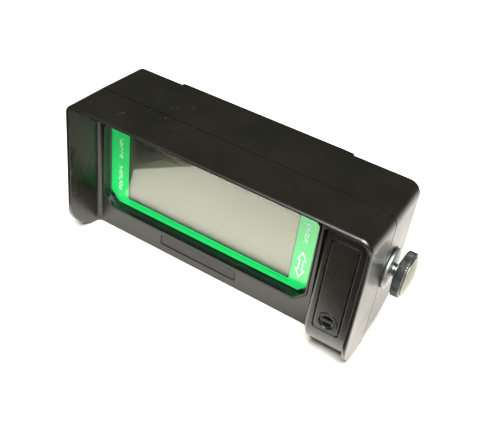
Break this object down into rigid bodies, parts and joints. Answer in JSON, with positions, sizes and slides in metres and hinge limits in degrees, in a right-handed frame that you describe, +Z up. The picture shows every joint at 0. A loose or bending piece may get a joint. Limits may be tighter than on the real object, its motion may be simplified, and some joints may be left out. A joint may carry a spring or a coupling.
{
  "type": "taxi meter",
  "caption": "Hooded in-vehicle display housing with a recessed octagonal window, a control pillar and a thumb knob on each side that clamps it in a swivel bracket.",
  "frame": {"origin": "centre of the bounding box at the level of the underside", "axes": "+Z up, +X along the housing towards the control pillar, -Y out of the window towards the reader"},
  "size_m": [0.2286, 0.0756, 0.097],
  "materials": {
    "housing": "fine moulded grain",
    "bezel": "gloss",
    "gasket": "matt foam",
    "glass": "clear, flat",
    "legend": "printed film",
    "lcd": "flat with polariser",
    "light_guide": "frosted",
    "dark_steel": "black",
    "board": "solder resist",
    "steel": "zinc plated",
    "bright_steel": "polished",
    "brass": "turned",
    "black_plastic": "moulded",
    "capacitor": "sleeved",
    "heat_sink": "extruded",
    "knob": "knurled",
    "knob_disc": "spun",
    "plate": "satin",
    "rating": "satin",
    "pot": "moulded"
  },
  "bodies": {
    "housing": {"front_shell": "housing", "rear_shell": "housing", "window_bezel": "bezel", "window_gasket": "gasket", "window_glass": "glass", "legend_overlay": "legend", "lcd_frame": "dark_steel", "lcd_cell": "lcd", "light_guide": "light_guide", "lcd_board": "board", "main_board": "board", "processor": "black_plastic", "memory_chip": "black_plastic", "capacitor_large": "capacitor", "capacitor_small": "capacitor", "buzzer": "black_plastic", "heat_sink": "heat_sink", "board_header": "black_plastic", "connector_shell": "bright_steel", "connector_body": "black_plastic", "jack_post_left": "steel", "jack_post_right": "steel", "name_plate": "plate", "rating_plate": "rating", "pillar_insert": "housing", "control_ring": "housing", "dimmer_pot": "pot", "control_board": "board", "lcd_board_screw_1": "steel", "board_spacer_1": "brass", "main_board_screw_1": "steel", "case_screw_1": "steel", "lcd_board_screw_2": "steel", "board_spacer_2": "brass", "main_board_screw_2": "steel", "case_screw_2": "steel", "lcd_board_screw_3": "steel", "board_spacer_3": "brass", "main_board_screw_3": "steel", "case_screw_3": "steel", "lcd_board_screw_4": "steel", "board_spacer_4": "brass", "main_board_screw_4": "steel", "case_screw_4": "steel", "pivot_insert_left": "brass", "pivot_stud_left": "bright_steel", "clamp_washer_left": "bright_steel", "pivot_insert_right": "brass", "pivot_stud_right": "bright_steel", "clamp_washer_right": "bright_steel"},
    "dimmer": {"dimmer_knob": "knob"},
    "thrust_left": {"thrust_washer_left": "steel"},
    "thumb_left": {"thumb_knob_left": "knob", "knob_cap_left": "knob_disc"},
    "thrust_right": {"thrust_washer_right": "steel"},
    "thumb_right": {"thumb_knob_right": "knob", "knob_cap_right": "knob_disc"}
  },
  "joints": [
    {"name": "dimmer_turn", "type": "hinge", "parent": "housing", "child": "dimmer", "pos_m": [0.0849, -0.03485, 0.0331], "axis": [0, 1, 0], "range_deg": [-135, 135]},
    {"name": "left_thumb_travel", "type": "slide", "parent": "housing", "child": "thrust_left", "axis": [-1, 0, 0], "range_m": [0, 0.0025]},
    {"name": "left_thumb_turn", "type": "hinge", "parent": "thrust_left", "child": "thumb_left", "pos_m": [-0.1065, 0.00615, 0.053], "axis": [-1, 0, 0], "range_deg": [0, 720.5]},
    {"name": "right_thumb_travel", "type": "slide", "parent": "housing", "child": "thrust_right", "axis": [1, 0, 0], "range_m": [0, 0.0025]},
    {"name": "right_thumb_turn", "type": "hinge", "parent": "thrust_right", "child": "thumb_right", "pos_m": [0.1065, 0.00615, 0.053], "axis": [1, 0, 0], "range_deg": [0, 720.5]}
  ],
  "couplings": [
    {"joint": "left_thumb_turn", "follows": "left_thumb_travel", "rad_per_m": 5026.5},
    {"joint": "right_thumb_turn", "follows": "right_thumb_travel", "rad_per_m": 5026.5}
  ]
}
